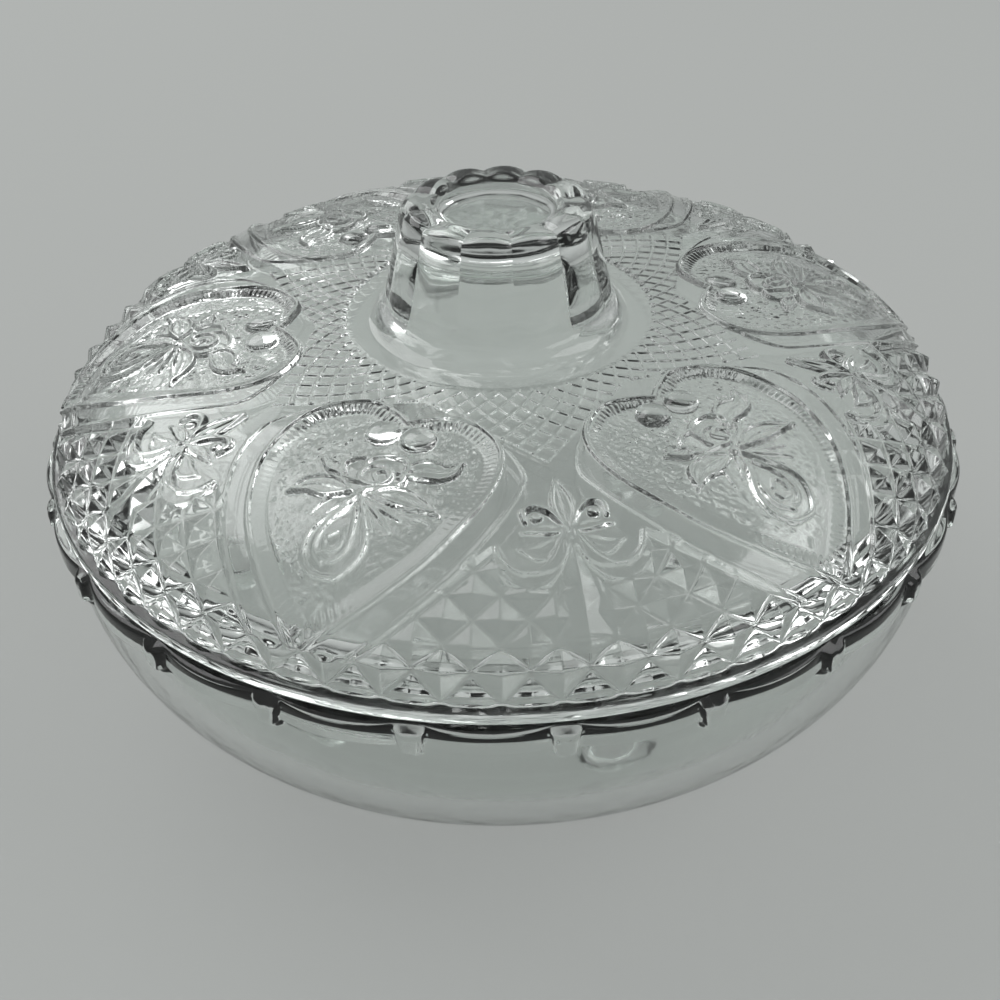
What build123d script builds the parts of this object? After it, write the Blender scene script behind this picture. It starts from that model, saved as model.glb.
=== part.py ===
from build123d import *
from math import asin, cos, degrees, radians, sin, tan
import os

# Covered candy dish in pressed clear glass: a footed bowl and a loose lid with its knob.
# Millimetres, +Z up, origin on the table under the dish's axis.
# Azimuths are degrees round +Z, counted from the front, which is -Y.

# Bowl
seat_height = 56.0
bowl_wall = 4.0
bowl_base_radius = 50.0
bowl_base_height = 8.0
bowl_turn = -2.9

# Scalloped rim band of the bowl, with a bead in each valley
rim_outer_radius = 89.0
rim_scallop_depth = 1.6
rim_band_height = 5.6
rim_bevel = 0.8
bead_count = 24
bead_radius = 2.5
bead_height = 6.6
bead_stand_out = 0.6

# Mouth of the bowl inside the rim
rim_width = 6.0
mouth_depth = 3.6
mouth_lead = 2.0

# Ball feet of the bowl
foot_count = 6
foot_circle_radius = 58.5
foot_radius = 6.5
foot_flat_radius = 2.6
foot_first_bead = 1

# Lid shell
lid_wall = 3.8
flange_setback = 1.6
flange_width = 2.1
flange_thickness = 2.4
flange_edge_round = 0.9
step_run = 1.55
dome_edge_rise = 7.5
shoulder_run = 25.75
shoulder_rise = 19.4
knob_foot_radius = 28.5
knob_foot_rise = 20.9

# Ring under the lid that keeps it centred in the bowl's mouth
locating_ring_depth = 2.5
locating_ring_width = 3.0
locating_clearance = 0.8

# Knob, hollow from below, with rounded lobes round it and a shallow dished top
knob_lobes = 12
knob_lobe_depth = 0.9
knob_flare = 9.5
knob_flare_angle = 72.0
knob_taper = 9.6
knob_top_radius = 18.0
knob_top_rise = 43.1
knob_top_bevel = 2.0
knob_dish_radius = 13.4
knob_dish_depth = 1.0
knob_crown = 6.0
knob_cavity_radius = 13.0
knob_cavity_draft = 2.6

# Radii that follow the rim, so that the lid keeps its seat on the bowl
mouth_radius = rim_outer_radius - rim_width
flange_radius = rim_outer_radius - flange_setback
step_foot_radius = flange_radius - flange_width
dome_edge_radius = step_foot_radius - step_run
shoulder_radius = dome_edge_radius - shoulder_run


def turned(line):
    """Solid of revolution about Z from a closed line drawn in radius and height."""
    return revolve(make_face(Plane.XZ * line), Axis.Z)


def closed_line(*pieces):
    """One closed outline from edges, with the last end joined to the first start."""
    line = Curve() + list(pieces)
    return line + Line(pieces[-1] @ 1, pieces[0] @ 0)


def around(shape, count, first_azimuth):
    """Copies of a shape built at the front, spaced evenly round the axis."""
    step = 360 / count
    return [Rot(0, 0, first_azimuth + step * k) * shape for k in range(count)]


def scalloped_face(radius, depth, count, first_azimuth, height):
    """Face bounded by equal outward arcs, whose valleys start at first_azimuth."""
    step = 360 / count

    def point(distance, azimuth):
        return (distance * sin(radians(azimuth)), -distance * cos(radians(azimuth)))

    arcs = []
    for k in range(count):
        valley = first_azimuth + step * k
        arcs.append(ThreePointArc(
            point(radius - depth, valley),
            point(radius, valley + step / 2),
            point(radius - depth, valley + step),
        ))
    return Pos(0, 0, height) * make_face(Curve() + arcs)


def shoulder_circle():
    """Radius of the dome's shoulder arc, which starts level at shoulder_radius."""
    drop = shoulder_rise - dome_edge_rise
    return (shoulder_run * shoulder_run + drop * drop) / (2 * drop)


def dome_line(raise_by):
    """Outer line of the dome from its edge to the knob's foot, raised along its normal."""
    circle = shoulder_circle()
    centre = (shoulder_radius, seat_height + shoulder_rise - circle)
    edge_angle = 90 - degrees(asin(shoulder_run / circle))
    arc = CenterArc(centre, circle + raise_by, edge_angle, 90 - edge_angle)
    top = Line(arc @ 1, (knob_foot_radius, seat_height + knob_foot_rise + raise_by))
    return arc, top


def lid_body():
    """Dome, step, flange and locating ring as one solid, up to the foot of the knob."""
    ring_outer = mouth_radius - locating_clearance
    ring_bottom = seat_height - locating_ring_depth
    arc, top = dome_line(0)
    base = Polyline(
        (0, ring_bottom),
        (ring_outer, ring_bottom),
        (ring_outer, seat_height),
        (flange_radius, seat_height),
        (flange_radius, seat_height + flange_thickness),
        (step_foot_radius, seat_height + flange_thickness),
        arc @ 0,
    )
    flare_centre = (knob_foot_radius, seat_height + knob_foot_rise + knob_flare)
    knob_foot = CenterArc(flare_centre, knob_flare, -90, -knob_flare_angle)
    across = Line(knob_foot @ 1, (0, (knob_foot @ 1).Y))
    body = turned(closed_line(base, arc, top, knob_foot, across))
    rim_edges = body.edges().filter_by(
        lambda e: e.geom_type == GeomType.CIRCLE and abs(e.radius - flange_radius) < 0.01
    )
    return fillet(rim_edges, flange_edge_round)


def knob():
    """Tapering knob of rounded lobes with a bevelled crown and a dished top."""
    slope = tan(radians(knob_taper))
    crown_rise = knob_top_rise - knob_top_bevel
    base_rise = knob_foot_rise + 1
    sections = [
        (base_rise, knob_top_radius + slope * (knob_top_rise - base_rise)),
        (crown_rise, knob_top_radius + slope * knob_top_bevel),
        (knob_top_rise - knob_top_bevel * 0.3, knob_top_radius - knob_top_bevel * 0.35),
        (knob_top_rise, knob_top_radius - knob_top_bevel),
    ]
    faces = [
        scalloped_face(radius, knob_lobe_depth, knob_lobes, 0, seat_height + rise)
        for rise, radius in sections
    ]
    body = loft(faces, ruled=True)
    dish = Pos(0, 0, seat_height + knob_top_rise) * Cone(
        bottom_radius=knob_dish_radius - knob_dish_depth,
        top_radius=knob_dish_radius,
        height=knob_dish_depth,
        align=(Align.CENTER, Align.CENTER, Align.MAX),
    )
    return body - dish


def lid_hollow():
    """Space under the lid: the dome's inside and the knob's cavity above it."""
    circle = shoulder_circle() - lid_wall
    centre = (shoulder_radius, seat_height + shoulder_rise - shoulder_circle())
    wall_radius = mouth_radius - locating_clearance - locating_ring_width
    wall_angle = 90 - degrees(asin((wall_radius - shoulder_radius) / circle))
    ring_bottom = seat_height - locating_ring_depth
    arc = CenterArc(centre, circle, wall_angle, 90 - wall_angle)
    cavity_top = seat_height + knob_top_rise - knob_crown
    cavity_foot = (knob_cavity_radius + knob_cavity_draft, seat_height + knob_foot_rise - lid_wall)
    side = Polyline((0, ring_bottom), (wall_radius, ring_bottom), arc @ 0)
    ceiling = Polyline(arc @ 1, cavity_foot, (knob_cavity_radius, cavity_top), (0, cavity_top))
    return turned(closed_line(side, arc, ceiling))


def lid():
    return lid_body() + knob() - lid_hollow()


def bowl_body():
    """Outside of the bowl up to the seat, still solid."""
    rim_radius = rim_outer_radius - rim_scallop_depth - rim_bevel
    wall_top = seat_height - rim_band_height
    run = rim_radius - bowl_base_radius
    drop = wall_top - bowl_base_height
    circle = (run * run + drop * drop) / (2 * drop)
    centre = (bowl_base_radius, bowl_base_height + circle)
    end_angle = degrees(asin((drop - circle) / circle))
    wall = CenterArc(centre, circle, -90, 90 + end_angle)
    base = Line((0, bowl_base_height), (bowl_base_radius, bowl_base_height))
    top = Polyline(wall @ 1, (rim_radius, seat_height), (0, seat_height))
    return turned(closed_line(base, wall, top)), centre, circle


def bowl_hollow(centre, circle):
    """Inside of the bowl, with a straight mouth for the lid's locating ring."""
    mouth_bottom = seat_height - mouth_depth
    inner = circle - bowl_wall
    end_angle = degrees(asin((mouth_bottom - mouth_lead - centre[1]) / inner))
    wall = CenterArc(centre, inner, -90, 90 + end_angle)
    floor = Line((0, bowl_base_height + bowl_wall), wall @ 0)
    mouth = Polyline(wall @ 1, (mouth_radius, mouth_bottom), (mouth_radius, seat_height + 1),
                     (0, seat_height + 1))
    return turned(closed_line(floor, wall, mouth))


def rim_band():
    """Scalloped band round the rim, bevelled at both edges."""
    levels = [
        (seat_height - rim_band_height, rim_bevel),
        (seat_height - rim_band_height + rim_bevel, 0),
        (seat_height - rim_bevel, 0),
        (seat_height, rim_bevel),
    ]
    faces = [
        scalloped_face(rim_outer_radius - inset, rim_scallop_depth, bead_count, bowl_turn, height)
        for height, inset in levels
    ]
    return loft(faces, ruled=True)


def bead():
    """Small drop in a valley of the rim: a round button above a narrowing tail."""
    top = seat_height - rim_bevel / 2
    bottom = top - bead_height
    drop = turned(Polyline(
        (0, bottom),
        (bead_radius * 0.35, bottom),
        (bead_radius * 0.8, bottom + bead_height * 0.35),
        (bead_radius, top - bead_height * 0.3),
        (bead_radius * 0.9, top - bead_height * 0.06),
        (bead_radius * 0.7, top),
        (0, top),
        close=True,
    ))
    reach = rim_outer_radius - rim_scallop_depth + bead_stand_out - bead_radius * 0.4
    return Pos(0, -reach, 0) * drop


def foot():
    """Ball foot, cut flat where it stands."""
    ball = Sphere(foot_radius)
    centre_height = (foot_radius ** 2 - foot_flat_radius ** 2) ** 0.5
    block = Box(4 * foot_radius, 4 * foot_radius, 4 * foot_radius, align=(Align.CENTER, Align.CENTER, Align.MAX))
    return Pos(0, -foot_circle_radius, 0) * (Pos(0, 0, centre_height) * ball - block)


def bowl():
    body, centre, circle = bowl_body()
    bead_step = 360 / bead_count
    feet = around(foot(), foot_count, bowl_turn + bead_step * foot_first_bead)
    solid = body + rim_band() + around(bead(), bead_count, bowl_turn) + feet
    return solid - bowl_hollow(centre, circle)


os.makedirs("parts", exist_ok=True)
for name, make in (("lid", lid), ("bowl", bowl)):
    export_step(make(), f"parts/{name}.step")
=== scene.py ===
import bpy
import numpy as np
from mathutils import Matrix, Vector


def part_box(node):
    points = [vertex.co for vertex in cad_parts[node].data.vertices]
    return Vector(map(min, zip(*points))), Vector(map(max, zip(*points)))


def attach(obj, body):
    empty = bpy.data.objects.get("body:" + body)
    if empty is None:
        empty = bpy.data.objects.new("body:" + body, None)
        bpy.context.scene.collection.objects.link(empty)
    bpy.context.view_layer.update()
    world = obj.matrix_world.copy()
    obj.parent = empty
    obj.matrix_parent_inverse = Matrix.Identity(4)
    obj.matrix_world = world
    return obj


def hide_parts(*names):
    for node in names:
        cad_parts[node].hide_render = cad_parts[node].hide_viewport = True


# Covered candy dish in clear pressed glass. Sizes are in millimetres until the meshes are written in metres.
# Azimuths are degrees round +Z counted from the front, -Y. A profile is a line of (radius, height) points.
# Ornament is drawn on a flat plan of one sixth of the dish: x runs round it and y outward from the axis.

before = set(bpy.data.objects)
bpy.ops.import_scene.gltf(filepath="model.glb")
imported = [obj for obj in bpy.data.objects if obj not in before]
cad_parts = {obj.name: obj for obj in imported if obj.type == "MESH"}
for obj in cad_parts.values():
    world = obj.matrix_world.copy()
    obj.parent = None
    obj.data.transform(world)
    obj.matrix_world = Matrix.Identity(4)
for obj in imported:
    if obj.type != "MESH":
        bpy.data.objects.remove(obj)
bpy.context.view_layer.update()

MM = 0.001
lid_low, lid_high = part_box("lid")
bowl_low, bowl_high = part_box("bowl")

# Heights and radii that follow the frame
RING_DEPTH = 2.5
SEAT = lid_low[2] / MM + RING_DEPTH
KNOB_TOP = lid_high[2] / MM
FLANGE_RADIUS = lid_high[0] / MM
RIM_REACH = bowl_high[0] / MM

# Gaps that keep the lid off the bowl at the seat, and the beads inside the frame's box
LID_GAP = 0.05
RIM_GAP = 0.1
BOX_GAP = 0.1

# Scalloped rim of the bowl, with a bead in each valley and a straight mouth inside
RIM_RADIUS = 89.0
RIM_WIDTH = 6.0
SCALLOP_DEPTH = 1.6
VALLEY_RADIUS = RIM_RADIUS - SCALLOP_DEPTH
BAND_HEIGHT = 5.6
BAND_FOOT = SEAT - BAND_HEIGHT
BAND_BEVEL = 0.8
MOUTH_RADIUS = RIM_RADIUS - RIM_WIDTH
MOUTH_DEPTH = 3.6
BEADS = 24
BEAD_PITCH = 360 / BEADS
BEAD_DROP = 0.5
BEAD_HALF_WIDTH = 2.5
BEAD_HEIGHT = 6.6
BEAD_STAND_OUT = 2.0

# Bowl below the rim, and its ball feet
BOWL_TURN = -2.9
BOWL_WALL = 4.0
BOWL_BASE = (50.0, 8.0)
FEET = 6
FOOT_TURN = BOWL_TURN + BEAD_PITCH
FOOT_CIRCLE = 58.5
FOOT_BALL = 6.45
FOOT_FLAT = 2.6
FOOT_NECK_ANGLE = 18.0
FOOT_ROOT = 8.4
FOOT_NECK_SHARE = 0.78

# Lid shell, from its flange in to the foot of the knob, and the ring that keeps it centred in the mouth
LID_WALL = 3.8
FLANGE_THICKNESS = 2.4
FLANGE_WIDTH = 2.1
STEP_RUN = 1.55
SHOULDER_RUN = 25.75
STEP_FOOT = (FLANGE_RADIUS - FLANGE_WIDTH, SEAT + FLANGE_THICKNESS)
DOME_EDGE = (STEP_FOOT[0] - STEP_RUN, SEAT + 7.5)
SHOULDER = (DOME_EDGE[0] - SHOULDER_RUN, SEAT + 19.4)
KNOB_FOOT = (28.5, SEAT + 20.9)
RING_CLEARANCE = 0.8
RING_WIDTH = 3.0
RING_OUTER = MOUTH_RADIUS - RING_CLEARANCE
RING_INNER = RING_OUTER - RING_WIDTH

# Knob, hollow from below. Its taper is the gain in radius for each millimetre down
KNOB_CREST = 17.3
KNOB_TAPER = 0.24
CROWN_REACH = 2.3
KNOB_FLARE = 4.2
KNOB_LOBES = 12
LOBE_DEPTH = 0.8
DISH_RADIUS = 11.0
DISH_DEPTH = 1.2
DISH_EDGE = 1.0
CAVITY_RADIUS = 13.0
CAVITY_TOP = KNOB_TOP - 6.0
CAVITY_FOOT_RADIUS = 15.6
CAVITY_FLARE = 4.0

# Diamond points in whole rows from the dome's edge, with one row of half points down the step below it
SECTORS = 6
SECTOR_TURN = 360 / SECTORS
CELLS = 60
DIAMOND_HALF = 3.75
DIAMOND_RISE = 1.5
STEP_DIAMOND = 5.3
VALLEY = 0.055

# Fields between the hearts: the palmette's, the saddle towards the knob, and the net
FIELD_RISE = 0.7
PALMETTE_RISE = 0.9
SADDLE_RISE = 0.25
SADDLE_SLOPE = 0.035
NET_RISE = 0.35
NET_LINE_RISE = 0.21
NET_ROW = 2.2
NET_TIP = 48.0

# Hearts: the band round each one, its outline, its sunk floor and the balls beside its cleft
BAND_RISE = 0.9
BAND_DROP = 0.3
BAND_WIDTH = (0.6, 4.2)
BAND_EDGE = (0.28, 0.8)
HEART_EDGE = (0.45, 0.9)
HEART_FLOOR = 0.1
HEART_TICKS = 116
VOLUTE_SPOT = (3.2, 45.2)
VOLUTE_RADIUS = 3.1
VOLUTE_RISE = 1.7
GRAIN = 0.09
GRAIN_SEED = 7

# Half a heart from its cleft, towards the knob, to its tip at the dome's edge
HALF_HEART = [(0, 42.0), (3.2, 39.9), (8.6, 38.2), (14.8, 41.2), (18.2, 46.2), (19.3, 53.0), (18.5, 60.0),
              (15.4, 68.7), (10.2, 75.8), (4.6, 81.0), (0, 84.4)]

# Mesh: columns round the axis, and row spacings over the ornament, the plain outside and the inside
COLUMNS = 1800
ORNAMENT_ROW = DIAMOND_HALF / 15
PLAIN_ROW = 0.36
INSIDE_ROW = 1.2

# Looks and stage. Lights are placed in metres: where they are, how large, and their power in watts
GLASS_TINT = (0.95, 0.975, 0.96)
GLASS_ROUGHNESS = (0.02, 0.09)
GLASS_IOR = 1.5
FLOOR_COLOUR = (0.44, 0.45, 0.44)
FLOOR_GLOW = (0.445, 0.46, 0.45)
GLOW_SHARES = {"Is Camera Ray": 0.62, "Is Glossy Ray": 0.4, "Is Transmission Ray": 0.45}
FLOOR_HALF = 3.0
HORIZON = (0.27, 0.28, 0.275)
OVERHEAD = (0.54, 0.56, 0.55)
WINDOW = ((-0.6, 0.7, 0.95), (1.15, 0.85), 7.0)
FILL = ((0.9, -0.2, 0.8), (0.9, 0.5), 3.0)
LIGHT_AIM = (0, 0, 0.05)

# Camera where the photograph was taken from
CAMERA_DISTANCE = 206.1
CAMERA_ABOVE_SEAT = 133.3
CAMERA_AZIMUTH = -8.42
CAMERA_HEADING = -8.24
CAMERA_PITCH = 37.64
CAMERA_ROLL = 1.39
CAMERA_SENSOR = 36.0
CAMERA_LENS = 43.4


def wrap(value, period):
    """Value brought to the range from minus half a period to half a period."""
    return (value + period / 2) % period - period / 2


def smoothstep(low, high, value):
    """Smooth rise from 0 at low to 1 at high."""
    share = np.clip((value - low) / (high - low), 0, 1)
    return share * share * (3 - 2 * share)


def distance_along(line):
    """Distance of each point of a polyline from its start, along the line."""
    return np.concatenate([[0], np.cumsum(np.hypot(*np.diff(line, axis=0).T))])


def points_at(marks, line):
    """Points of a polyline at the given distances from its start."""
    along = distance_along(line)
    return np.stack([np.interp(marks, along, line[:, k]) for k in range(2)], 1)


def resample(points, spacing):
    """Points along a polyline at about the given spacing, ends kept."""
    line = np.asarray(points, float)
    length = distance_along(line)[-1]
    count = max(2, int(round(length / spacing)) + 1)
    return points_at(np.linspace(0, length, count), line)


def arc(centre, radius, start, end, count=96):
    """Arc in degrees, counted from the first axis towards the second."""
    angles = np.radians(np.linspace(start, end, count))
    return np.stack([centre[0] + radius * np.cos(angles), centre[1] + radius * np.sin(angles)], 1)


def rounded(corners, steps=12):
    """Polyline through corners (x, y, reach), each corner rounded by a quadratic curve of that reach."""
    out = []
    for k, (x, y, reach) in enumerate(corners):
        here = np.array([x, y])
        if reach == 0 or k in (0, len(corners) - 1):
            out.append(here[None])
            continue
        before = np.array(corners[k - 1][:2]) - here
        after = np.array(corners[k + 1][:2]) - here
        start = here + before / np.hypot(*before) * reach
        end = here + after / np.hypot(*after) * reach
        t = np.linspace(0, 1, steps)[:, None]
        out.append((1 - t) ** 2 * start + 2 * t * (1 - t) * here + t ** 2 * end)
    return np.concatenate(out)


def spline(points, side=1, steps=12):
    """Smooth curve through given points (Catmull-Rom), mirrored where side is -1."""
    points = np.asarray(points, float) * [side, 1]
    padded = np.concatenate([2 * points[:1] - points[1:2], points, 2 * points[-1:] - points[-2:-1]])
    t = np.linspace(0, 1, steps, endpoint=False)[:, None]
    out = []
    for a, b, c, d in zip(padded, padded[1:], padded[2:], padded[3:]):
        bend = (2 * a - 5 * b + 4 * c - d) * t ** 2 + (3 * b - a - 3 * c + d) * t ** 3
        out.append(0.5 * (2 * b + (c - a) * t + bend))
    out.append(padded[-2][None])
    return np.concatenate(out)


def nearest(x, y, line):
    """Distance from each grid point to a polyline, and how far along it the nearest spot is, from 0 to 1."""
    best = np.full(x.shape, np.inf)
    share = np.zeros(x.shape)
    lengths = np.hypot(*np.diff(line, axis=0).T)
    total = lengths.sum()
    run = 0.0
    for (x0, y0), (x1, y1), length in zip(line[:-1], line[1:], lengths):
        if length < 1e-9:
            continue
        t = np.clip(((x - x0) * (x1 - x0) + (y - y0) * (y1 - y0)) / length ** 2, 0, 1)
        gap = np.hypot(x - x0 - t * (x1 - x0), y - y0 - t * (y1 - y0))
        closer = gap < best
        best = np.where(closer, gap, best)
        share = np.where(closer, (run + t * length) / total, share)
        run += length
    return best, share


def inside(x, y, loop):
    """True where a grid point is inside a closed loop."""
    result = np.zeros(x.shape, bool)
    for (x0, y0), (x1, y1) in zip(loop, np.roll(loop, -1, axis=0)):
        if y0 == y1:
            continue
        crosses = (y0 > y) != (y1 > y)
        result ^= crosses & (x < (x1 - x0) * (y - y0) / (y1 - y0) + x0)
    return result


def highest(parts):
    """The highest of several reliefs at each grid point."""
    return np.maximum.reduce(parts)


def ridge(gap, width):
    """Round-topped ridge, 1 on its line and 0 at half its width."""
    return np.sqrt(np.clip(1 - (2 * gap / width) ** 2, 0, 1))


def ball(x, y, middle, radius):
    """Round mound, 1 at its middle."""
    return ridge(np.hypot(x - middle[0], y - middle[1]), 2 * radius)


def width_along(share, widths):
    """Width at each share of a line's length, from widths given at even steps along it."""
    return np.interp(share, np.linspace(0, 1, len(widths)), widths)


def stroke(x, y, line, widths):
    """Round-topped stroke along a line."""
    gap, share = nearest(x, y, line)
    return ridge(gap, width_along(share, widths))


def leaf(x, y, line, width):
    """Leaf with a thin raised rim, a midrib and a shallow blade between them."""
    gap, share = nearest(x, y, line)
    half = width / 2 * np.sin(np.pi * np.clip(share, 0.03, 0.97) ** 0.8)
    blade = 0.5 * (1 - smoothstep(half - 0.5, half, gap))
    rim = ridge(gap - half + 0.35, 0.9) * (gap < half + 0.1)
    midrib = 0.75 * ridge(gap, 0.6)
    return highest([blade, rim, midrib])


def ribbon(x, y, line, widths):
    """Flat-topped band with a raised line along each edge."""
    gap, share = nearest(x, y, line)
    half = width_along(share, widths) / 2
    top = 0.7 * (1 - smoothstep(half - 0.25, half + 0.1, gap))
    edges = ridge(gap - half + 0.35, 0.7) * (gap < half + 0.1)
    return np.maximum(top, edges)


def heart_outline():
    """Closed outline of a heart."""
    half = spline(HALF_HEART)
    return np.concatenate([half, half[::-1][1:-1] * [-1, 1]])


def flower(x, y):
    """Open flower: a mound, a ring of inner petals and the outlines of the outer petals."""
    rims = [
        arc((0.5, 56.0), 2.5, 0, 360, 40),
        spline([(1.6, 57.6), (0.2, 55.6), (1.8, 54.6), (3.0, 56.0)]),
        spline([(-2.0, 55.2), (-1.8, 52.4), (0.6, 50.9), (3.6, 51.0), (5.2, 53.2), (4.4, 55.6)]),
        spline([(-1.4, 58.2), (-4.6, 57.6), (-5.6, 55.2), (-4.4, 52.8), (-1.8, 52.2)]),
        spline([(0.1, 60.0), (3.2, 58.4), (5.2, 56.6), (5.0, 54.4)]),
    ]
    lines = highest([stroke(x, y, line, (0.9, 1.1, 0.9)) for line in rims])
    petals = np.where(lines > 0, 0.35 + 0.65 * lines, 0)
    mound = 0.55 * ball(x, y, (0.2, 55.4), 5.4)
    return np.maximum(mound, petals)


def bud(x, y):
    """Half-open bud below the flower, with petals wrapped round it."""
    rims = [
        spline([(0.0, 61.4), (-1.8, 65.2), (-4.1, 69.0), (-4.0, 72.4), (-2.2, 74.8), (0.2, 75.4)]),
        spline([(0.6, 61.4), (3.0, 65.4), (4.8, 69.2), (4.6, 72.0), (2.6, 74.9), (0.2, 75.4)]),
        spline([(-0.4, 63.8), (-2.4, 68.2), (-2.4, 71.6), (-0.4, 73.6)]),
        spline([(0.9, 63.8), (2.2, 68.0), (2.4, 71.2), (0.8, 73.0), (-1.2, 72.2)]),
        spline([(-1.0, 69.4), (0.5, 68.2), (1.5, 69.6), (0.9, 71.3), (-0.6, 71.5), (-1.3, 70.3)]),
    ]
    lines = highest([stroke(x, y, line, (0.7, 1.0, 1.1, 0.8)) for line in rims])
    mound = 0.45 * ridge(np.hypot((x - 0.3) / 4.3, (y - 70.4) / 5.2), 2)
    return np.maximum(mound, lines)


def rose(x, y):
    """Spray inside a heart: an open flower over a bud, with leaves and sepals to both sides of their knot."""
    leaves = [
        ([(3.8, 54.4), (7.4, 52.2), (10.8, 51.6), (12.8, 48.4)], 5.2),
        ([(-1.6, 60.6), (-5.0, 60.4), (-8.4, 60.8), (-11.4, 63.4)], 4.8),
        ([(-4.2, 56.8), (-6.6, 55.8), (-9.8, 54.4)], 2.8),
        ([(1.6, 60.4), (5.4, 59.4), (9.6, 60.0), (13.8, 61.4)], 4.2),
    ]
    sepals = [
        [(-0.4, 60.6), (-4.0, 61.9), (-5.9, 66.2)],
        [(-0.4, 61.0), (-1.7, 63.2), (-3.4, 65.6)],
        [(0.8, 61.2), (4.8, 62.8), (8.4, 64.0)],
        [(0.8, 61.4), (4.2, 63.6), (7.6, 66.4)],
        [(0.6, 61.6), (3.0, 64.4), (5.0, 67.0)],
    ]
    parts = [leaf(x, y, spline(points), width) for points, width in leaves]
    parts += [0.55 * stroke(x, y, spline(points), (0.5, 1.0, 0.4)) for points in sepals]
    parts += [flower(x, y), bud(x, y), 1.1 * ball(x, y, (0.1, 60.5), 1.1)]
    return highest(parts)


def stipple(shape):
    """Fine pebbled grain, the same on every run."""
    grain = np.random.default_rng(GRAIN_SEED).normal(size=shape)
    for axis in (0, 1, 0, 1, 0, 1):
        grain = (grain + np.roll(grain, 1, axis)) / 2
    return GRAIN * grain / grain.std()


def heart_ticks(share, gap, y):
    """Hatching across the heart's inner slope, strongest near its top and its tip."""
    strength = 0.03 + 0.06 * (1 - smoothstep(43, 49, y)) + 0.08 * smoothstep(77, 80, y)
    along = np.cos(share * 2 * np.pi * HEART_TICKS)
    across = smoothstep(0.5, 1.2, gap) * (1 - smoothstep(2.2, 3.0, gap))
    return strength * along * across


def volute(x, y, side):
    """Ball beside the heart's cleft."""
    return VOLUTE_RISE * ball(x, y, (VOLUTE_SPOT[0] * side, VOLUTE_SPOT[1]), VOLUTE_RADIUS)


def heart_relief(x, y):
    """Relief inside one heart, and the distance to its outline, negative inside."""
    loop = heart_outline()
    gap, share = nearest(x, y, np.concatenate([loop, loop[:1]]))
    slope = (BAND_RISE - HEART_FLOOR) * (1 - smoothstep(0.3, 3.2, gap))
    ground = HEART_FLOOR + slope + heart_ticks(share, gap, y)
    ground = ground + stipple(x.shape) * smoothstep(3.0, 3.6, gap)
    raised = highest([rose(x, y), volute(x, y, -1), volute(x, y, 1)])
    rise = np.maximum(ground, HEART_FLOOR + raised)
    return rise, np.where(inside(x, y, loop), -gap, gap)


def arms(x, y):
    """Two scroll arms of the palmette."""
    points = [(0.9, 67.0), (2.5, 70.9), (5.4, 73.1), (8.4, 72.8), (10.7, 70.8), (11.2, 67.8)]
    widths = (0.9, 2.3, 2.7, 2.7, 2.3, 0.9)
    return highest([ribbon(x, y, spline(points, side), widths) for side in (-1, 1)])


def tail(x, y):
    """Long tail of the palmette, a ridge that spreads outward, with a raised line along each edge."""
    half = 1.1 + 0.24 * np.maximum(y - 67.0, 0)
    crest = 1.5 * np.clip(1 - np.abs(x) / half, 0, 1)
    edges = 0.35 * ridge(np.abs(x) - half, 0.8)
    return (crest + edges) * smoothstep(66.2, 68.0, y) * (1 - smoothstep(80.6, 82.0, y))


def palmette(x, y):
    """Palmette between two hearts: petals towards the knob, scroll arms and a long spreading tail."""
    middle_petal = spline([(0.1, 67.0), (0.1, 61.0), (0.0, 54.8)])
    parts = [1.15 * arms(x, y), 0.9 * leaf(x, y, middle_petal, 3.8), tail(x, y)]
    for side in (-1, 1):
        curl = spline([(0.4, 65.8), (2.3, 62.6), (4.4, 61.2), (6.1, 62.0), (6.3, 64.2)], side)
        petal = spline([(0.4, 66.6), (3.6, 65.8), (7.0, 66.0)], side)
        lobe = spline([(1.8, 67.6), (4.6, 69.4), (8.0, 68.6)], side)
        parts.append(0.95 * stroke(x, y, curl, (0.8, 1.2, 1.4, 1.4, 0.8)))
        parts.append(0.8 * leaf(x, y, petal, 1.9))
        parts.append(0.7 * leaf(x, y, lobe, 3.0))
        parts.append(0.9 * ball(x, y, (4.4 * side, 63.5), 1.0))
    return highest(parts)


def diamonds(across, inward):
    """Four-sided points in staggered rows. Both ways are in half cells from a valley crossing."""
    a = wrap(across + inward, 2)
    b = wrap(across - inward, 2)
    return 1 - np.maximum(np.abs(a), np.abs(b))


def half_cells(azimuth):
    """Half cells round the dish from the front."""
    return azimuth * CELLS / 360 * 2


def diamond_points(azimuth, slant):
    """Rows of diamond points inward from the dome's edge, and of half points down the step outward of it."""
    rows = np.where(slant > 0, slant / DIAMOND_HALF, slant / STEP_DIAMOND)
    return DIAMOND_RISE * np.maximum(diamonds(half_cells(azimuth), rows + 1) - VALLEY, 0)


def net(radius, azimuth):
    """Fine raised lozenge net: 1 on its lines."""
    cell = diamonds(half_cells(azimuth), (NET_TIP - radius) / NET_ROW)
    return 1 - smoothstep(0.03, 0.36, cell)


def net_edge(x):
    """Outer edge of the net between two hearts, a V with its tip outward."""
    return 50.2 - 1.15 * np.abs(x)


def field_edge(x):
    """Knob-side edge of the smooth field round a palmette, an ogee arch."""
    run = np.abs(x)
    return 55.2 + 2.0 * smoothstep(0, 2.4, run) + 0.42 * np.maximum(run - 2.4, 0)


def in_field(x, y):
    """True on the smooth field round a palmette, down to the outer edge of its scroll arms."""
    between_arms = (np.hypot(np.abs(x) - 5.8, y - 67.4) < 5.6) & (y < 72.6)
    below_arch = (y < 67.2 + 0.8 * smoothstep(11, 14, np.abs(x))) & (y > field_edge(x))
    return below_arch | between_arms


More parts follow.
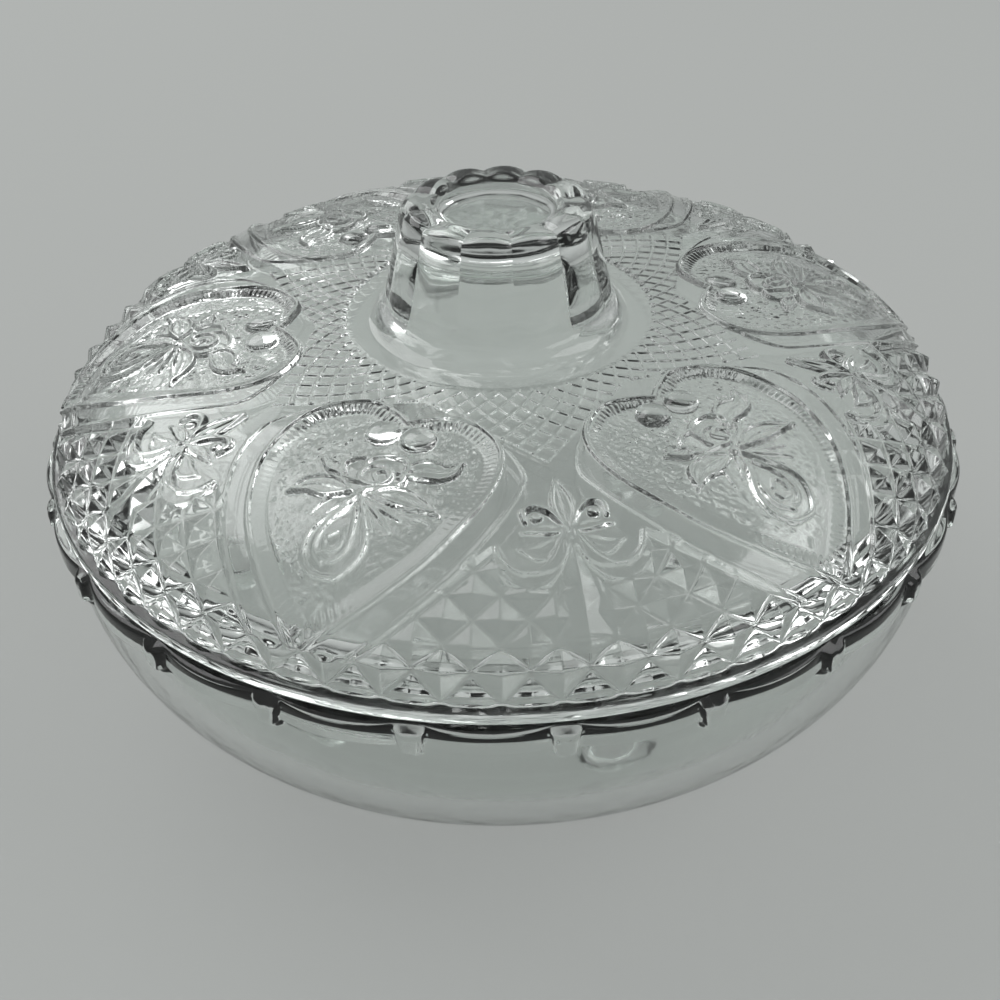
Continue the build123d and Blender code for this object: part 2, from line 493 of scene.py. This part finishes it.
def between_hearts(radius, azimuth, points):
    """Relief between two hearts, from the knob outward: net, saddle, palmette's field and diamond points."""
    turn = np.radians(wrap(azimuth, SECTOR_TURN))
    x = radius * np.sin(turn)
    y = radius * np.cos(turn)
    relief = palmette(x, y)
    outer = np.where(in_field(x, y), FIELD_RISE + PALMETTE_RISE * relief, np.maximum(points, relief))
    saddle = SADDLE_RISE + SADDLE_SLOPE * (y - net_edge(x))
    outer = np.where(y <= field_edge(x), saddle, outer)
    return np.where(y <= net_edge(x), NET_RISE + NET_LINE_RISE * net(radius, azimuth), outer)


def heart_band(gap, y, between):
    """Smooth band round a heart, with a raised line along its outer edge, and what lies beyond it."""
    width = BAND_WIDTH[0] + (BAND_WIDTH[1] - BAND_WIDTH[0]) * smoothstep(41, 50, y)
    band = BAND_RISE - BAND_DROP * np.clip(gap / width, 0, 1)
    edge_rise, edge_width = BAND_EDGE
    return np.where(gap < width, band, between) + edge_rise * ridge(gap - width, edge_width) * (y > 43)


def ornament(radius, azimuth, slant):
    """Relief over the dome and the step. slant is the distance inward from the dome's edge on the surface."""
    turn = np.radians(wrap(azimuth - SECTOR_TURN / 2, SECTOR_TURN))
    heart_y = radius * np.cos(turn)
    rise, gap = heart_relief(radius * np.sin(turn), heart_y)
    points = diamond_points(azimuth, slant)
    outside = heart_band(gap, heart_y, between_hearts(radius, azimuth, points))
    total = np.where(gap < 0, rise, outside)
    edge_rise, edge_width = HEART_EDGE
    edge = BAND_RISE + edge_rise * ridge(gap, edge_width)
    total = np.where(np.abs(gap) < edge_width / 2, np.maximum(total, edge), total)
    fade = smoothstep(KNOB_FOOT[0] + 0.1, KNOB_FOOT[0] + 1.9, radius)
    return np.where(slant < 0, points, total * fade)


def shoulder_circle():
    """Centre and radius of the dome's shoulder arc, which starts level at the shoulder."""
    run = DOME_EDGE[0] - SHOULDER[0]
    drop = SHOULDER[1] - DOME_EDGE[1]
    circle = (run * run + drop * drop) / (2 * drop)
    return (SHOULDER[0], SHOULDER[1] - circle), circle


def dome_line():
    """Dome from its edge inward to the foot of the knob."""
    centre, circle = shoulder_circle()
    edge_angle = np.degrees(np.arccos((DOME_EDGE[0] - SHOULDER[0]) / circle))
    return np.concatenate([arc(centre, circle, edge_angle, 90), [KNOB_FOOT]])


def dome_rows():
    """Rows over the dome from the knob's foot outward, and each row's distance from the dome's edge."""
    line = resample(dome_line(), 0.05)
    length = distance_along(line)[-1]
    marks = np.append(np.arange(0, length - ORNAMENT_ROW / 2, ORNAMENT_ROW), length)
    return points_at(marks, line)[::-1], marks[::-1]


def normals_of(line):
    """Unit normals of a profile, to the left of its direction."""
    tangent = np.gradient(line, axis=0)
    tangent /= np.hypot(*tangent.T)[:, None]
    return np.stack([-tangent[:, 1], tangent[:, 0]], 1)


def flare_arc():
    """Flare at the knob's foot, tangent to the dome and to the knob's tapering side."""
    side_turn = np.arctan(KNOB_TAPER)
    side_at_foot = KNOB_CREST + KNOB_TAPER * (KNOB_TOP - KNOB_FOOT[1])
    reach = KNOB_FLARE * (np.cos(side_turn) - KNOB_TAPER * (1 - np.sin(side_turn)))
    centre = (side_at_foot + reach, KNOB_FOOT[1] + KNOB_FLARE)
    return arc(centre, KNOB_FLARE, 180 + np.degrees(side_turn), 270)


def knob_line():
    """Knob's outside from the middle of its dish to the dome at its foot."""
    flare = flare_arc()
    upper = rounded([
        (0, KNOB_TOP - DISH_DEPTH, 0),
        (DISH_RADIUS, KNOB_TOP - DISH_DEPTH, 0.9),
        (DISH_RADIUS + DISH_EDGE, KNOB_TOP, 0.9),
        (KNOB_CREST, KNOB_TOP, CROWN_REACH),
        (*flare[0], 0),
    ], steps=24)
    return np.concatenate([upper, flare[1:], [KNOB_FOOT]])


def vault_line():
    """Underside of the dome from the inside of the locating ring to the top of the shoulder."""
    centre, outer = shoulder_circle()
    circle = outer - LID_WALL
    wall_angle = np.degrees(np.arccos((RING_INNER - SHOULDER[0]) / circle))
    return arc(centre, circle, wall_angle, 90)


def flange_line(vault):
    """Flange, seat and locating ring, from the foot of the step to the start of the vault."""
    return rounded([
        (*STEP_FOOT, 0),
        (FLANGE_RADIUS, STEP_FOOT[1] - 0.15, 0.9),
        (FLANGE_RADIUS, SEAT + LID_GAP, 0.8),
        (RING_OUTER, SEAT + LID_GAP, 0.3),
        (RING_OUTER, SEAT - RING_DEPTH, 0.7),
        (RING_INNER, SEAT - RING_DEPTH, 0.7),
        (*vault[0], 0),
    ])


def cavity_line(vault):
    """Knob's cavity, from the end of the vault to the middle of its ceiling."""
    ceiling = KNOB_FOOT[1] - LID_WALL
    return rounded([
        (*vault[-1], 0),
        (CAVITY_FOOT_RADIUS + CAVITY_FLARE, ceiling, 2.5),
        (CAVITY_FOOT_RADIUS, ceiling + CAVITY_FLARE, 1.5),
        (CAVITY_RADIUS, CAVITY_TOP, 4.5),
        (0, CAVITY_TOP, 0),
    ])


def lid_profile():
    """Outline of the lid from its dish to its cavity, where its parts end, and its ornament's slants."""
    vault = vault_line()
    knob = resample(knob_line(), PLAIN_ROW)
    dome, slant = dome_rows()
    step = resample([dome[-1], STEP_FOOT], PLAIN_ROW)
    flange = resample(flange_line(vault), PLAIN_ROW)
    inner = resample(np.concatenate([vault, cavity_line(vault)[1:]]), INSIDE_ROW)
    parts = [knob, dome[1:], step[1:], flange[1:], inner[1:]]
    ends = np.cumsum([len(part) for part in parts])
    slants = np.concatenate([slant[1:], -distance_along(step)[1:]])
    return np.concatenate(parts), ends, slants


def lobes(line, azimuth):
    """How far the knob's valleys are sunk below its rounded lobes."""
    pitch = 360 / KNOB_LOBES
    sink = (wrap(azimuth - pitch / 2, pitch) / (pitch / 2)) ** 2
    fade = smoothstep(KNOB_FOOT[1] + 1.0, KNOB_FOOT[1] + 8.0, line[:, 1])
    fade = fade * smoothstep(DISH_RADIUS - 0.4, DISH_RADIUS + 2.4, line[:, 0])
    return LOBE_DEPTH * fade[:, None] * sink[None, :]


def turned_mesh(name, points):
    """Closed mesh from rows of points round the axis. The first and last rows are single points on it."""
    rows, columns = points.shape[:2]
    middle = points[1:-1].reshape(-1, 3)
    verts = np.concatenate([points[:1, 0], middle, points[-1:, 0]]) * MM
    ring = np.arange(columns)
    after = (ring + 1) % columns
    low = 1 + np.arange(rows - 3)[:, None] * columns
    high = low + columns
    quads = np.stack([low + ring, high + ring, high + after, low + after], -1).reshape(-1, 4)
    last = len(verts) - 1
    end_row = 1 + (rows - 3) * columns
    top = np.stack([np.zeros(columns, int), 1 + ring, 1 + after], 1)
    bottom = np.stack([np.full(columns, last), end_row + after, end_row + ring], 1)
    loops = np.concatenate([quads.ravel(), top.ravel(), bottom.ravel()])
    sizes = np.concatenate([np.full(len(quads), 4), np.full(2 * columns, 3)])
    mesh = bpy.data.meshes.new(name)
    mesh.vertices.add(len(verts))
    mesh.vertices.foreach_set("co", verts.ravel())
    mesh.loops.add(len(loops))
    mesh.loops.foreach_set("vertex_index", loops)
    mesh.polygons.add(len(sizes))
    mesh.polygons.foreach_set("loop_start", np.concatenate([[0], np.cumsum(sizes)[:-1]]))
    mesh.polygons.foreach_set("loop_total", sizes)
    mesh.polygons.foreach_set("use_smooth", np.ones(len(sizes), bool))
    mesh.update()
    mesh.validate()
    return link_object(name, mesh)


def link_object(name, data):
    """New object in the scene that holds the given data."""
    thing = bpy.data.objects.new(name, data)
    bpy.context.scene.collection.objects.link(thing)
    return thing


def column_azimuths():
    """Azimuth of each column of a turned mesh."""
    return np.arange(COLUMNS) * 360 / COLUMNS


def place(line, raised, azimuth):
    """Points in space from a profile, how far each point is raised along its normal, and the azimuths."""
    normal = normals_of(line)
    radius = line[:, 0, None] + normal[:, 0, None] * raised
    height = line[:, 1, None] + normal[:, 1, None] * raised
    angle = np.radians(azimuth)[None, :]
    return np.stack([radius * np.sin(angle), -radius * np.cos(angle), height], -1)


def lid_mesh():
    """Lid with its knob. One sixth of the ornament is worked out and repeated round it."""
    line, ends, slant = lid_profile()
    azimuth = column_azimuths()
    raised = np.zeros((len(line), COLUMNS))
    raised[:ends[0]] = -lobes(line[:ends[0]], azimuth)
    sector = COLUMNS // SECTORS
    decorated = slice(ends[0], ends[2])
    radius, turn = np.meshgrid(line[decorated, 0], azimuth[:sector], indexing="ij")
    relief = ornament(radius, turn, np.repeat(slant[:, None], sector, 1))
    raised[decorated] = np.tile(relief, (1, SECTORS))
    return turned_mesh("lid_glass", place(line, raised, azimuth))


def bowl_circle():
    """Centre and radius of the bowl's outer arc, which starts level at the edge of its base."""
    run = VALLEY_RADIUS - BAND_BEVEL - BOWL_BASE[0]
    drop = BAND_FOOT - BOWL_BASE[1]
    circle = (run * run + drop * drop) / (2 * drop)
    return (BOWL_BASE[0], BOWL_BASE[1] + circle), circle


def bowl_arc(centre, circle):
    """Arc of the bowl's wall from its level start up to the foot of the rim band."""
    end = np.degrees(np.arcsin((BAND_FOOT - centre[1]) / circle))
    return arc(centre, circle, -90, end)


def bowl_profile():
    """Outline of the bowl up its inside, over its rim and down its outside, and where its parts end."""
    centre, circle = bowl_circle()
    inner = bowl_arc(centre, circle - BOWL_WALL)
    outer = bowl_arc(centre, circle)[::-1]
    inner = resample(np.concatenate([[(0, inner[0][1])], inner]), INSIDE_ROW)
    band = resample(rounded([
        (*inner[-1], 0),
        (MOUTH_RADIUS, SEAT - MOUTH_DEPTH, 0.5),
        (MOUTH_RADIUS, SEAT - RIM_GAP, 0.5),
        (VALLEY_RADIUS, SEAT - RIM_GAP, 1.0),
        (VALLEY_RADIUS, BAND_FOOT + 0.7, 0.5),
        (VALLEY_RADIUS - BAND_BEVEL, BAND_FOOT, 0),
    ]), PLAIN_ROW)
    outer = resample(np.concatenate([outer, [(0, BOWL_BASE[1])]]), PLAIN_ROW)
    parts = [inner, band[1:], outer[1:]]
    return np.concatenate(parts), np.cumsum([len(part) for part in parts])


def scallops(line, azimuth):
    """Rounded scallops of the rim between its valleys, which fade out at the band's foot and inner edge."""
    bulge = 1 - (wrap(azimuth - BOWL_TURN - BEAD_PITCH / 2, BEAD_PITCH) / (BEAD_PITCH / 2)) ** 2
    weight = smoothstep(BAND_FOOT - 0.3, BAND_FOOT + 1.2, line[:, 1])
    weight = weight * smoothstep(MOUTH_RADIUS + 1.5, VALLEY_RADIUS - 0.3, line[:, 0])
    return SCALLOP_DEPTH * bulge[None, :] * weight[:, None]


def beads(height, azimuth):
    """Drop-shaped beads over the rim's valleys."""
    across = np.radians(wrap(azimuth - BOWL_TURN, BEAD_PITCH))[None, :] * RIM_RADIUS
    middle = SEAT - BEAD_DROP - BEAD_HEIGHT / 2
    up = (height[:, None] - middle) / (BEAD_HEIGHT / 2)
    half = BEAD_HALF_WIDTH * (0.78 + 0.22 * up)
    sides = np.sqrt(np.clip(1 - (across / half) ** 2, 0, 1))
    ends = np.sqrt(np.clip(1 - np.abs(up) ** 3.5, 0, 1))
    return BEAD_STAND_OUT * sides * ends


def foot_line():
    """Outline of a foot from the middle of its flat round its ball to its neck, evenly spaced."""
    ball_height = np.sqrt(FOOT_BALL ** 2 - FOOT_FLAT ** 2)
    flat = -np.degrees(np.arccos(FOOT_FLAT / FOOT_BALL))
    side = arc((0, ball_height), FOOT_BALL, flat, FOOT_NECK_ANGLE)
    return resample(np.concatenate([[(0, 0)], side]), 0.25)


def pull_feet(points):
    """Draws the bowl's underside out into its feet: each ball, and the root that joins it to the bowl."""
    line = foot_line()
    marks = np.linspace(0, 1, len(line))
    for k in range(FEET):
        azimuth = np.radians(FOOT_TURN + 360 / FEET * k)
        axis = FOOT_CIRCLE * np.array([np.sin(azimuth), -np.cos(azimuth)])
        away = points[..., :2] - axis
        gap = np.hypot(away[..., 0], away[..., 1])
        near = gap < FOOT_ROOT
        share = gap[near] / FOOT_ROOT
        lower = np.clip(share / FOOT_NECK_SHARE, 0, 1)
        upper = np.clip((share - FOOT_NECK_SHARE) / (1 - FOOT_NECK_SHARE), 0, 1)
        reach = np.interp(lower, marks, line[:, 0]) + (FOOT_ROOT - line[-1, 0]) * upper ** 1.6
        height = np.interp(lower, marks, line[:, 1])
        height = height + (points[near][:, 2] - height) * upper ** 0.9
        way = away[near] / np.maximum(gap[near], 1e-6)[:, None]
        points[near] = np.concatenate([axis + way * reach[:, None], height[:, None]], 1)


def bowl_mesh():
    """Bowl with its scallops, beads and feet."""
    line, ends = bowl_profile()
    azimuth = column_azimuths()
    outside = (np.arange(len(line)) >= ends[0]) & (line[:, 0] > MOUTH_RADIUS + 2.4)
    reach = scallops(line, azimuth) + beads(line[:, 1], azimuth)
    reach = np.clip(reach, 0, RIM_REACH - BOX_GAP - line[:, 0, None]) * outside[:, None]
    angle = np.radians(azimuth)
    outward = np.stack([np.sin(angle), -np.cos(angle)], 1)
    points = place(line, np.zeros((len(line), COLUMNS)), azimuth)
    points[..., :2] += outward[None] * reach[..., None]
    pull_feet(points[ends[1]:-1])
    return turned_mesh("bowl_glass", points)


def noise(nodes, links, where, scale, detail):
    """Noise over the object's own coordinates."""
    texture = nodes.new("ShaderNodeTexNoise")
    texture.inputs["Scale"].default_value = scale
    texture.inputs["Detail"].default_value = detail
    links.new(where.outputs["Object"], texture.inputs["Vector"])
    return texture.outputs["Fac"]


def glass(name):
    """Clear pressed glass: slightly tinted, with fire-polished waviness and faint wear in its gloss."""
    material = bpy.data.materials.new(name)
    material.use_nodes = True
    nodes = material.node_tree.nodes
    links = material.node_tree.links
    shader = nodes["Principled BSDF"]
    shader.inputs["Base Color"].default_value = (*GLASS_TINT, 1)
    shader.inputs["Transmission Weight"].default_value = 1.0
    shader.inputs["IOR"].default_value = GLASS_IOR
    where = nodes.new("ShaderNodeTexCoord")
    gloss = nodes.new("ShaderNodeMapRange")
    gloss.inputs["To Min"].default_value = GLASS_ROUGHNESS[0]
    gloss.inputs["To Max"].default_value = GLASS_ROUGHNESS[1]
    links.new(noise(nodes, links, where, 70.0, 3.0), gloss.inputs["Value"])
    links.new(gloss.outputs["Result"], shader.inputs["Roughness"])
    bump = nodes.new("ShaderNodeBump")
    bump.inputs["Strength"].default_value = 0.12
    bump.inputs["Distance"].default_value = 0.0003
    links.new(noise(nodes, links, where, 220.0, 2.0), bump.inputs["Height"])
    links.new(bump.outputs["Normal"], shader.inputs["Normal"])
    return material


def glow_share(nodes, links):
    """How much of the floor's glow each kind of ray sees. Rays of any other kind see none of it."""
    path = nodes.new("ShaderNodeLightPath")
    total = None
    for name, share in GLOW_SHARES.items():
        scaled = nodes.new("ShaderNodeMath")
        scaled.operation = "MULTIPLY"
        scaled.inputs[1].default_value = share
        links.new(path.outputs[name], scaled.inputs[0])
        if total is None:
            total = scaled.outputs[0]
            continue
        most = nodes.new("ShaderNodeMath")
        most.operation = "MAXIMUM"
        links.new(total, most.inputs[0])
        links.new(scaled.outputs[0], most.inputs[1])
        total = most.outputs[0]
    return total


def floor_material():
    """Pale matt floor. Its glow doesn't depend on the light, so the shadow on it stays soft."""
    material = bpy.data.materials.new("pale_floor")
    material.use_nodes = True
    nodes = material.node_tree.nodes
    links = material.node_tree.links
    shader = nodes["Principled BSDF"]
    shader.inputs["Base Color"].default_value = (*FLOOR_COLOUR, 1)
    shader.inputs["Roughness"].default_value = 0.95
    shader.inputs["Specular IOR Level"].default_value = 0.1
    glow = nodes.new("ShaderNodeEmission")
    glow.inputs["Color"].default_value = (*FLOOR_GLOW, 1)
    blend = nodes.new("ShaderNodeMixShader")
    links.new(glow_share(nodes, links), blend.inputs[0])
    links.new(shader.outputs[0], blend.inputs[1])
    links.new(glow.outputs[0], blend.inputs[2])
    links.new(blend.outputs[0], nodes["Material Output"].inputs["Surface"])
    return material


def add_floor():
    """Wide flat floor under the dish, which isn't part of it."""
    corners = [(-1, -1), (1, -1), (1, 1), (-1, 1)]
    mesh = bpy.data.meshes.new("floor")
    mesh.from_pydata([(x * FLOOR_HALF, y * FLOOR_HALF, 0) for x, y in corners], [], [(0, 1, 2, 3)])
    floor = link_object("floor", mesh)
    floor.data.materials.append(floor_material())


def add_light(name, location, size, power):
    """Rectangular soft light aimed at the dish."""
    lamp = bpy.data.lights.new(name, "AREA")
    lamp.shape = "RECTANGLE"
    lamp.size, lamp.size_y = size
    lamp.energy = power
    light = link_object(name, lamp)
    light.location = location
    aim = Vector(LIGHT_AIM) - Vector(location)
    light.rotation_euler = aim.to_track_quat("-Z", "Y").to_euler()


def add_world():
    """Soft room: dim towards the horizon and brighter overhead."""
    world = bpy.data.worlds.new("soft_room")
    world.use_nodes = True
    nodes = world.node_tree.nodes
    links = world.node_tree.links
    way = nodes.new("ShaderNodeTexCoord")
    split = nodes.new("ShaderNodeSeparateXYZ")
    shade = nodes.new("ShaderNodeValToRGB")
    horizon, overhead = shade.color_ramp.elements
    horizon.position = 0.0
    horizon.color = (*HORIZON, 1)
    overhead.position = 0.75
    overhead.color = (*OVERHEAD, 1)
    links.new(way.outputs["Generated"], split.inputs[0])
    links.new(split.outputs["Z"], shade.inputs["Fac"])
    links.new(shade.outputs["Color"], nodes["Background"].inputs["Color"])
    bpy.context.scene.world = world


def add_camera():
    """Camera aimed down at the dish, with the photograph's slight roll."""
    azimuth = np.radians(CAMERA_AZIMUTH)
    heading = np.radians(CAMERA_HEADING)
    pitch = np.radians(CAMERA_PITCH)
    roll = np.radians(CAMERA_ROLL)
    across = CAMERA_DISTANCE * np.sin(azimuth)
    back = -CAMERA_DISTANCE * np.cos(azimuth)
    spot = Vector((across, back, SEAT + CAMERA_ABOVE_SEAT)) * MM
    forward = Vector((-np.sin(heading), np.cos(heading), 0))
    ahead = forward * np.cos(pitch) - Vector((0, 0, np.sin(pitch)))
    level = Vector((np.cos(heading), np.sin(heading), 0))
    upward = level.cross(ahead)
    right = level * np.cos(roll) - upward * np.sin(roll)
    top = level * np.sin(roll) + upward * np.cos(roll)
    data = bpy.data.cameras.new("camera")
    data.sensor_width = CAMERA_SENSOR
    data.lens = CAMERA_LENS
    data.clip_start = 0.01
    camera = link_object("camera", data)
    turn = Matrix((right, top, -ahead)).transposed().to_4x4()
    camera.matrix_world = Matrix.Translation(spot) @ turn
    bpy.context.scene.camera = camera


def dress(piece, node):
    """Gives a glass piece its material and lets it stand for the node of the same body."""
    piece.data.materials.append(glass(piece.name))
    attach(piece, node)
    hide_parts(node)


add_camera()
dress(lid_mesh(), "lid")
dress(bowl_mesh(), "bowl")
add_floor()
add_world()
add_light("window", *WINDOW)
add_light("fill", *FILL)

bpy.context.scene.view_settings.view_transform = "Standard"
